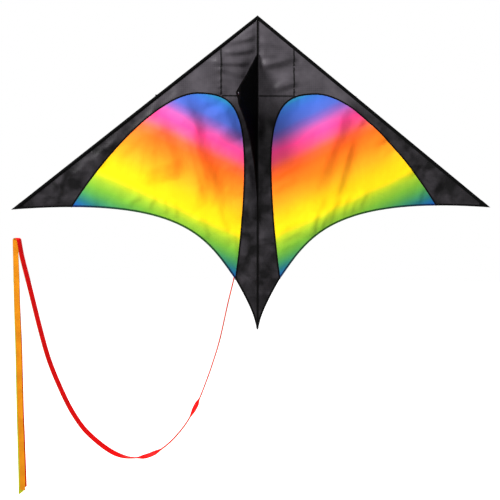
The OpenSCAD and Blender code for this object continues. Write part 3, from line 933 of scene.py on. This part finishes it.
def tube_of_cloth(name, node, stops, material, wrinkle):
    """A cloth tube round the spine: stops are heights and radii down its length."""
    columns = 28
    heights = [z for z, _ in stops]
    count = max(12, round((heights[0] - heights[-1]) / (5 * MM)))
    zs = sorted(set(np.linspace(heights[0], heights[-1], count)) | set(heights), reverse=True)
    radii = np.interp([-z for z in zs], [-z for z in heights], [r for _, r in stops])
    points, flat = [], []
    for z, r in zip(zs, radii):
        for j in range(columns):
            a = 2 * math.pi * j / columns
            ripple = noise.noise(Vector((math.cos(a) * 1.3, math.sin(a) * 1.3, z / 0.02)))
            radius = r * (1 - wrinkle * (0.5 + 0.5 * ripple))
            points.append((radius * math.cos(a), radius * math.sin(a), z))
            flat.append((r * a, z))
    piece = add_mesh(name, points, grid_faces(len(zs), columns, closed=True))
    map_cloth(piece, flat, [(z, r) for r, z in flat])
    dress(piece, material)
    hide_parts(node)
    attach(piece, "airframe")


def spine_pieces():
    top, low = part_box("spine_sleeve")[1].z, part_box("spine_sleeve")[0].z
    tube_of_cloth("spine_sleeve_cloth", "spine_sleeve", ((top, SPINE_R), (low, SPINE_R)),
                  "black_tape", 0.10)
    cap_low, cap_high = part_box("nose_cap")
    r = cap_high.x
    tube_of_cloth("nose_cap_cloth", "nose_cap", (
        (cap_high.z, 0.1 * MM), (cap_high.z - 0.4 * r, 0.55 * r), (cap_high.z - r, r),
        (cap_low.z + MM, r), (cap_low.z, 0.9 * r),
    ), "black_tape", 0.04)
    end_low, end_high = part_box("tail_pocket")
    tube_of_cloth("tail_pocket_cloth", "tail_pocket", (
        (end_high.z, 0.9 * r), (end_high.z - MM, r), (end_low.z + 6 * MM, r),
        (end_low.z + 2 * MM, 0.6 * r), (end_low.z, 0.1 * MM),
    ), "black_tape", 0.04)


def root_strip(side, sign):
    """The edge of the wing's cloth that is sewn under the spine sleeve."""
    top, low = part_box(f"{side}_nose_panel")[1].z - MM, SPINE_END + 14 * MM
    rows = round((top - low) / (6 * MM))
    offsets = np.array((1.2, 2.0, 2.8, 3.6, 4.4, 5.4)) * MM
    points, flat = [], []
    for z in np.linspace(top, low, rows):
        for x in offsets:
            wave = 0.25 * MM * noise.noise(Vector((x / 0.004, z / 0.014, 4.0 + sign)))
            points.append((sign * x, -0.2 * MM + wave * (x > 2 * MM), z))
            flat.append((sign * x, z))
    piece = add_mesh(f"{side}_root_strip", points, grid_faces(rows, len(offsets)))
    map_cloth(piece, flat, flat)
    thicken(piece, CLOTH_T)
    dress(piece, "black_ripstop")
    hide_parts(f"{side}_centre_strip")
    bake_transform(piece)


# ---------------------------------------------------------------- keel

def keel_flat(loops):
    return [[((p - KEEL_ROOT).dot(KEEL_ALONG), p.z) for p in loop] for loop in loops]


def keel_relief(flat):
    """How far the keel's cloth stands off its own plane: a slow curve, and tension folds that
    run in from the tow corner, which lies flat round the eyelet."""
    tow = np.array([(TOW_AT - KEEL_ROOT).dot(KEEL_ALONG), TOW_AT.z])
    away = flat - tow
    far = np.linalg.norm(away, axis=1)
    turn = np.arctan2(away[:, 1], -away[:, 0])
    free = np.clip((far - 45 * MM) / (60 * MM), 0, 1) * np.clip(flat[:, 0] / (30 * MM), 0, 1)
    bend = 3.0 * MM * np.sin(np.clip(-flat[:, 1] - 0.117, 0, 1) / 0.52 * math.pi * 1.4)
    rays = 1.4 * MM * np.sin(9 * turn) + 0.8 * MM * smooth_noise(flat, 0.03, 0.08, 9.1)
    return free * (bend + rays)


def keel_points(flat, stand):
    along, out = np.array(KEEL_ALONG), np.array(KEEL_OUT)
    down = np.array((0, 0, 1.0))
    root = np.array((KEEL_ROOT.x, KEEL_ROOT.y, 0))
    return (root + flat[:, :1] * along + flat[:, 1:] * down
            + (keel_relief(flat) + stand)[:, None] * out)


def keel_piece(node, material, step, stand, crown=0.0):
    """One keel layer: the panel itself at stand 0, or a hem or patch on both of its faces."""
    flat, triangles, seam = fill(keel_flat(face_loops(node, KEEL_OUT)), step)
    lift = crowned(stand, crown, seam)
    if stand:
        piece = two_layers(node + "_cloth", keel_points(flat, lift), keel_points(flat, -lift),
                           flat, triangles, seam)
    else:
        piece = add_mesh(node + "_cloth", keel_points(flat, lift), triangles)
        map_cloth(piece, flat, seam)
    thicken(piece, CLOTH_T)
    dress(piece, material)
    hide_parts(node)
    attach(piece, "keel")
    if not stand:
        declare_sheet(flat, triangles)


def keel_root_tape():
    """The keel's rolled edge, sewn to the front of the spine sleeve."""
    top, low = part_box("keel_panel")[1].z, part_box("keel_panel")[0].z
    rows = round((top - low) / (6 * MM))
    run = [Vector((0, -SPINE_R * 0.8, 0)), Vector((0, -SPINE_R * 1.15, 0)),
           Vector((0, KEEL_ROOT.y, 0)), Vector((0, KEEL_ROOT.y, 0)) + 2.5 * MM * KEEL_ALONG,
           Vector((0, KEEL_ROOT.y, 0)) + 6 * MM * KEEL_ALONG]
    points, seam = [], []
    for z in np.linspace(top - MM, low + MM, rows):
        for sign in (-1, 1):
            for k, p in enumerate(run if sign < 0 else reversed(run)):
                index = k if sign < 0 else len(run) - 1 - k
                stand = (0.9, 1.0, 1.0, 0.7, 0.35)[index] * MM
                points.append(p + sign * stand * KEEL_OUT + Vector((0, 0, z)))
                seam.append((z, k * 1.5 * MM))
    piece = add_mesh("keel_root_tape", points, grid_faces(rows, 2 * len(run), closed=True))
    map_cloth(piece, seam, seam)
    dress(piece, "black_tape")
    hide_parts("keel_panel")
    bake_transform(piece)


# ---------------------------------------------------------------- tail

# The ribbons' route from the head to the top of the fold, and down the hanging leg, as
# distances across and down from the nose in millimetres
SWAG = (
    (-72, -814.5), (-78, -840), (-94, -905), (-116, -1003), (-135, -1068), (-160, -1140),
    (-190, -1212), (-236, -1290), (-302, -1354), (-375, -1380), (-450, -1364), (-530, -1300),
    (-580, -1230), (-620, -1145), (-652, -1060), (-676, -970), (-696, -885), (-714, -808),
    (-729, -745), (-738, -692),
)
LEG = (
    (-749, -692), (-748, -745), (-747, -800), (-746, -880), (-744, -960), (-742, -1040),
    (-741, -1130), (-740, -1220), (-738, -1310), (-736, -1400), (-735, -1472),
)
RIBBON_W = 16 * MM
RIBBON_GAP = 0.7 * MM
FOLD_R = 4 * MM
TAIL_Y = next(j for j in frame["joints"] if j["name"] == "tail_sway")["pos_m"][1]


def rise(x, low, high):
    return ease(min(max((x - low) / (high - low), 0), 1))


def swag_turn(place):
    """How the ribbons turn about their length: at 90 degrees an edge faces the viewer."""
    return (90 - 45 * rise(place, 5.8, 6.1) + 45 * rise(place, 6.2, 6.6)
            - 45 * rise(place, 8, 8.4) + 45 * rise(place, 8.7, 9.1) - 60 * rise(place, 9.1, 10.2))


def ribbon_stations():
    """Along the ribbons: middle, direction across, direction out of the front face, and how far
    the place is along the swag, over the fold and down the leg, from 0 to 3."""
    twisted = range(5, 11)
    curve, place = catmull(SWAG, [16 if i in twisted else 8 for i in range(len(SWAG) - 1)])
    found = []
    for i, p in enumerate(curve):
        run = curve[min(i + 1, len(curve) - 1)] - curve[max(i - 1, 0)]
        side = Vector((-run[1], 0, run[0])).normalized()
        turn = math.radians(swag_turn(place[i]))
        away = Vector((0, 1, 0))
        across = -math.cos(turn) * side + math.sin(turn) * away
        out = -math.sin(turn) * side - math.cos(turn) * away
        found.append((Vector((p[0], TAIL_Y, p[1])), across, out, place[i] / (len(SWAG) - 1)))
    top, leg_top = curve[-1], np.array(LEG[0]) * MM
    for i in range(1, 13):
        a = math.pi * i / 13
        x = top[0] + (leg_top[0] - top[0]) * i / 13
        place_up = Vector((x, TAIL_Y + FOLD_R * (1 - math.cos(a)), top[1] + FOLD_R * math.sin(a)))
        found.append((place_up, Vector((1, 0, 0)),
                      Vector((0, -math.cos(a), math.sin(a))), 1 + i / 13))
    curve, place = catmull(LEG, [16] * (len(LEG) - 1))
    for i, p in enumerate(curve):
        found.append((Vector((p[0], TAIL_Y + 2 * FOLD_R, p[1])), Vector((1, 0, 0)),
                      Vector((0, 1, 0)), 2 + place[i] / (len(LEG) - 1)))
    return found


def ribbon(colour, level, drift, short, slant, seed):
    """One ribbon of the stack. It drifts sideways down the leg, and its end is cut on a slant."""
    stations = ribbon_stations()
    columns = 7
    points, seam, walked, previous = [], [], 0.0, None
    for middle, across, out, u in stations:
        down_leg = max(0, u - 2)
        walked += (middle - previous).length if previous else 0
        previous = middle
        sway = noise.noise(Vector((walked / 0.09, seed, 0.5)))
        ripple = 0.12 * MM * noise.noise(Vector((walked / 0.03, seed, 7.5)))
        for j in range(columns):
            q = j / (columns - 1) - 0.5
            cup = 0.35 * MM * (1 - 4 * q * q) * min(u, 1)
            place = (middle + out * (level * RIBBON_GAP + ripple + cup)
                     + across * (RIBBON_W * q))
            place.x += (drift + 0.8 * MM * sway) * down_leg
            end = max(0, (down_leg - 0.9) / 0.1)
            place.z += (short + slant * q) * end
            points.append(place)
            seam.append((walked, (q + 0.5) * RIBBON_W))
    name = f"tail_ribbon_{colour}"
    piece = add_mesh(name + "_cloth", points, grid_faces(len(stations), columns))
    map_cloth(piece, seam, seam)
    thicken(piece, 0.2 * MM)
    dress(piece, f"ribbon_{colour}")
    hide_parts(name)
    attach(piece, "tail")


def tail_head():
    """The ribbons' folded and stitched upper end, gathered on the cord."""
    low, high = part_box("tail_head")
    middle, half = (low + high) / 2, (high - low) / 2
    rows, columns = 14, 48
    points, seam = [], []
    for i in range(rows):
        t = i / (rows - 1)
        gather = 0.55 + 0.45 * abs(2 * t - 0.7) ** 1.3
        for j in range(columns):
            a = 2 * math.pi * j / columns
            pleat = 1 + 0.10 * math.cos(9 * a) * (1 - 0.5 * t)
            x = half.x * 1.5 * math.copysign(abs(math.cos(a)) ** 0.7, math.cos(a)) * pleat
            y = half.y * min(1, gather) * math.copysign(abs(math.sin(a)) ** 0.8, math.sin(a))
            points.append((middle.x + x, middle.y + y, high.z + (low.z - high.z) * t))
            seam.append((t * 2 * half.z, j / columns * 4 * half.y))
    faces = grid_faces(rows, columns, closed=True)
    faces += [tuple(range(columns))[::-1], tuple(range((rows - 1) * columns, rows * columns))]
    piece = add_mesh("tail_head_cloth", points, faces)
    map_cloth(piece, seam, seam)
    dress(piece, "ribbon_red")
    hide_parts("tail_head")
    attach(piece, "tail")


def tail_tab():
    """A short loop of tape sewn behind the hem, with the tail's cord through it."""
    low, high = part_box("tail_tab")
    x0, cord_r = (low.x + high.x) / 2, 1.7 * MM
    loop = [(-1.0 * MM, low.y), (-1.3 * MM, low.y + 3 * MM), (-1.5 * MM, TAIL_Y - 2.5 * MM)]
    turn = np.radians(np.linspace(200, -20, 15))
    loop += [(cord_r * math.cos(a), TAIL_Y + cord_r * math.sin(a)) for a in turn]
    loop += [(1.5 * MM, TAIL_Y - 2.5 * MM), (1.3 * MM, low.y + 3 * MM), (1.0 * MM, low.y)]
    heights = np.linspace(high.z, low.z, 9)
    points = [(x0 + x, y, z) for z in heights for x, y in loop]
    seam = [(k * MM, high.z - z) for z in heights for k in range(len(loop))]
    piece = add_mesh("tail_tab_tape", points, grid_faces(len(heights), len(loop)))
    map_cloth(piece, seam, seam)
    thicken(piece, 0.5 * MM)
    dress(piece, "black_tape")
    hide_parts("tail_tab")
    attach(piece, "left_wing")


def finish_cad_nodes():
    """The rods, caps, fittings, eyelet, washer and cord keep their shapes and get finishes."""
    slots = {row["node"]: row["material_slot"] for row in frame["record"]["subparts"]}
    for name, node in frame["nodes"].items():
        if not node.hide_render:
            node.data.materials.clear()
            node.data.materials.append(MATERIALS[slots[name]])


add_camera()
add_studio()

for side, sign in SIDES:
    wing = f"{side}_wing"
    for panel in ("nose_panel", "edge_band", "centre_strip"):
        sail_panel(f"{side}_{panel}", wing, "black_ripstop")
    sail_panel(f"{side}_rainbow_panel", wing, "rainbow_cloth")
    sail_tape(f"{side}_panel_tape", wing, "black_tape", HEM_LIFT, 2 * HEM_CROWN)
    sail_tape(f"{side}_nose_seam", wing, "seam_cloth", HEM_LIFT, HEM_CROWN)
    trailing_hem(side)
    edge_sleeve(side, sign)
    tip_pocket(side)
    root_strip(side, sign)

spine_pieces()
keel_piece("keel_panel", "keel_painted_shade_cloth", 5 * MM, 0)
for node in ("keel_front_hem", "keel_rear_hem", "tow_patch"):
    keel_piece(node, "black_tape", TAPE_STEP, HEM_LIFT, HEM_CROWN)
keel_root_tape()

ribbon("red", 1, 5 * MM, 8 * MM, 6 * MM, 1.0)
ribbon("yellow", 0, -5 * MM, -9 * MM, 12 * MM, 2.0)
ribbon("orange", -1, 0, 0, -4 * MM, 3.0)
tail_head()
tail_tab()
finish_cad_nodes()
